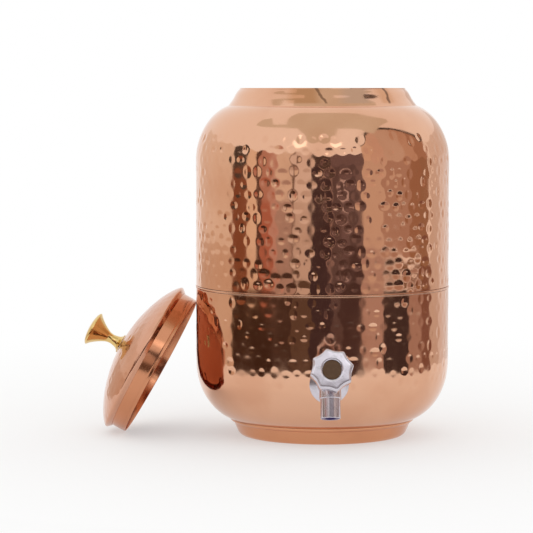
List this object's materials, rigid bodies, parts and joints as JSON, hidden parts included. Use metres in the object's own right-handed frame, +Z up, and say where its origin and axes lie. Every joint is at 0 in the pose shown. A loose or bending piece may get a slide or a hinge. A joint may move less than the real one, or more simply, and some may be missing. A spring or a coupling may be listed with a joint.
{
  "type": "water dispenser pot",
  "caption": "Hammered copper water dispenser pot with a lobed screw-down tap low on its front and a loose domed lid leaning on its side.",
  "frame": {"origin": "centre of the foot's flat underside", "axes": "+Z up along the pot's axis, the tap faces -Y, the lid leans on the -X side"},
  "size_m": [0.3148, 0.2684, 0.2976],
  "materials": {
    "hammered_copper": "hammered and polished copper",
    "polished_copper": "spun and polished copper",
    "brazing_metal": "filed brazing metal",
    "polished_brass": "turned and polished brass",
    "plain_brass": "machined brass",
    "chrome_plate": "bright chrome plate",
    "black_rubber": "moulded rubber",
    "brown_plastic": "glossy",
    "blue_plastic": "moulded"
  },
  "bodies": {
    "pot": {"upper_shell": "hammered_copper", "lower_shell": "hammered_copper", "brazed_seam": "brazing_metal", "foot_pan": "polished_copper", "tap_body": "chrome_plate", "front_gasket": "black_rubber", "rear_gasket": "black_rubber", "clamp_washer": "plain_brass", "lock_nut": "plain_brass", "spout_insert": "blue_plastic", "bonnet": "chrome_plate", "bonnet_gasket": "black_rubber", "gland_packing": "black_rubber", "gland_nut": "chrome_plate"},
    "valve": {"valve_jumper": "plain_brass", "jumper_washer": "black_rubber"},
    "handle_set": {"spindle": "plain_brass", "handle": "chrome_plate", "handle_screw": "plain_brass", "handle_cap": "brown_plastic"},
    "lid": {"lid_dome": "hammered_copper", "lid_skirt": "polished_copper", "lid_knob": "polished_brass", "knob_washer": "plain_brass", "knob_screw": "plain_brass"}
  },
  "joints": [
    {"name": "valve_lift", "type": "slide", "parent": "pot", "child": "valve", "axis": [0, -0.9563, 0.2924], "range_m": [0, 0.00301]},
    {"name": "handle_turn", "type": "hinge", "parent": "valve", "child": "handle_set", "pos_m": [0, -0.1176, 0.062], "axis": [0, -0.9563, 0.2924], "range_deg": [0, 540]},
    {"name": "lid_lift", "type": "slide", "parent": "pot", "child": "lid", "axis": [-0.874, 0.0919, 0.4772], "range_m": [0, 0.2]}
  ],
  "couplings": [
    {"joint": "valve_lift", "follows": "handle_turn", "m_per_rad": 0.00031831}
  ]
}
